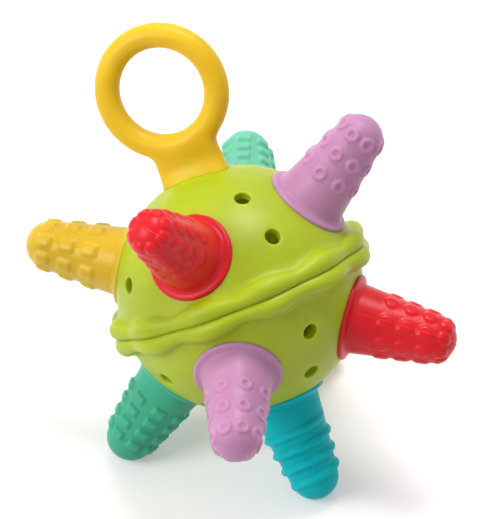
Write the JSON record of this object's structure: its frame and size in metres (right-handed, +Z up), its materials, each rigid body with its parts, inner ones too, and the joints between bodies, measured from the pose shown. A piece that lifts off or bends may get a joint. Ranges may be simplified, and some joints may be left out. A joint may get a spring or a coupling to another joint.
{
  "type": "teething ball",
  "caption": "Hollow vented ball with a scalloped equator flange, soft bending textured chew fingers, a fixed ring handle and loose rattle beads inside.",
  "frame": {"origin": "on the floor plane, at the centre of the box round the toy, below its middle", "axes": "+Z up from the floor, as the toy rests on three finger tips; -Y faces the viewer of the picture, with +X to the right"},
  "size_m": [0.1223, 0.1272, 0.1169],
  "materials": {
    "lime_shell": "satin moulded plastic, slightly waxy",
    "yellow_ring": "satin moulded plastic, soft to the touch",
    "red_finger": "semi-gloss soft elastomer",
    "lilac_finger": "satin soft elastomer",
    "mint_finger": "satin soft elastomer",
    "butter_finger": "satin soft elastomer",
    "leaf_finger": "satin soft elastomer",
    "turquoise_finger": "satin soft elastomer",
    "ivory_core": "plain moulded plastic",
    "ivory_bead": "smooth moulded plastic"
  },
  "bodies": {
    "ball": {"upper_shell": "lime_shell", "lower_shell": "lime_shell", "ring_handle": "yellow_ring", "ring_anchor": "ivory_core", "upper_core_front": "ivory_core", "upper_core_right": "ivory_core", "upper_core_back": "ivory_core", "upper_core_left": "ivory_core", "lower_core_front": "ivory_core", "lower_core_right": "ivory_core", "lower_core_back": "ivory_core", "lower_core_left": "ivory_core", "pole_core": "ivory_core"},
    "upper_finger_front": {"upper_finger_front": "red_finger"},
    "upper_finger_right": {"upper_finger_right": "lilac_finger"},
    "upper_finger_back": {"upper_finger_back": "mint_finger"},
    "upper_finger_left": {"upper_finger_left": "butter_finger"},
    "lower_finger_front": {"lower_finger_front": "lilac_finger"},
    "lower_finger_right": {"lower_finger_right": "red_finger"},
    "lower_finger_back": {"lower_finger_back": "butter_finger"},
    "lower_finger_left": {"lower_finger_left": "leaf_finger"},
    "pole_finger": {"pole_finger": "turquoise_finger"},
    "bead_low": {"bead_low": "ivory_bead"},
    "bead_left": {"bead_left": "ivory_bead"},
    "bead_right": {"bead_right": "ivory_bead"},
    "bead_back": {"bead_back": "ivory_bead"}
  },
  "joints": [
    {"name": "upper_front_bend", "type": "hinge", "parent": "ball", "child": "upper_finger_front", "pos_m": [-0.01857, -0.02177, 0.08809], "axis": [-0.8953, 0.0375, -0.4439], "range_deg": [-25, 25], "stiffness_Nm_per_rad": 0.3, "deforming": ["upper_finger_front"]},
    {"name": "upper_right_bend", "type": "hinge", "parent": "ball", "child": "upper_finger_right", "pos_m": [0.02683, 0.01061, 0.08809], "axis": [-0.256, -0.8587, 0.4439], "range_deg": [-25, 25], "stiffness_Nm_per_rad": 0.3, "deforming": ["upper_finger_right"]},
    {"name": "upper_back_bend", "type": "hinge", "parent": "ball", "child": "upper_finger_back", "pos_m": [0.00162, 0.04595, 0.05309], "axis": [0.8953, -0.0375, 0.4439], "range_deg": [-25, 25], "stiffness_Nm_per_rad": 0.3, "deforming": ["upper_finger_back"]},
    {"name": "upper_left_bend", "type": "hinge", "parent": "ball", "child": "upper_finger_left", "pos_m": [-0.04377, 0.01357, 0.05309], "axis": [0.256, 0.8587, -0.4439], "range_deg": [-25, 25], "stiffness_Nm_per_rad": 0.3, "deforming": ["upper_finger_left"]},
    {"name": "lower_front_bend", "type": "hinge", "parent": "ball", "child": "lower_finger_front", "pos_m": [-0.00058, -0.04595, 0.04977], "axis": [-0.8953, 0.0375, -0.4439], "range_deg": [-25, 25], "stiffness_Nm_per_rad": 0.3, "deforming": ["lower_finger_front"]},
    {"name": "lower_right_bend", "type": "hinge", "parent": "ball", "child": "lower_finger_right", "pos_m": [0.04384, -0.01427, 0.04977], "axis": [-0.256, -0.8587, 0.4439], "range_deg": [-25, 25], "stiffness_Nm_per_rad": 0.3, "deforming": ["lower_finger_right"]},
    {"name": "lower_back_bend", "type": "hinge", "parent": "ball", "child": "lower_finger_back", "pos_m": [0.01918, 0.0203, 0.01552], "axis": [0.8953, -0.0375, 0.4439], "range_deg": [-25, 25], "stiffness_Nm_per_rad": 0.3, "deforming": ["lower_finger_back"]},
    {"name": "lower_left_bend", "type": "hinge", "parent": "ball", "child": "lower_finger_left", "pos_m": [-0.02524, -0.01138, 0.01552], "axis": [0.256, 0.8587, -0.4439], "range_deg": [-25, 25], "stiffness_Nm_per_rad": 0.3, "deforming": ["lower_finger_left"]},
    {"name": "pole_bend", "type": "hinge", "parent": "ball", "child": "pole_finger", "pos_m": [0.01693, -0.02353, 0.01634], "axis": [0.8953, -0.0375, 0.4439], "range_deg": [-25, 25], "stiffness_Nm_per_rad": 0.3, "deforming": ["pole_finger"]},
    {"name": "bead_low_hop", "type": "slide", "parent": "ball", "child": "bead_low", "axis": [0, 0, 1], "range_m": [0, 0.018]},
    {"name": "bead_left_hop", "type": "slide", "parent": "ball", "child": "bead_left", "axis": [0, 0, 1], "range_m": [0, 0.018]},
    {"name": "bead_right_hop", "type": "slide", "parent": "ball", "child": "bead_right", "axis": [0, 0, 1], "range_m": [0, 0.018]},
    {"name": "bead_back_hop", "type": "slide", "parent": "ball", "child": "bead_back", "axis": [0, 0, 1], "range_m": [0, 0.018]}
  ]
}
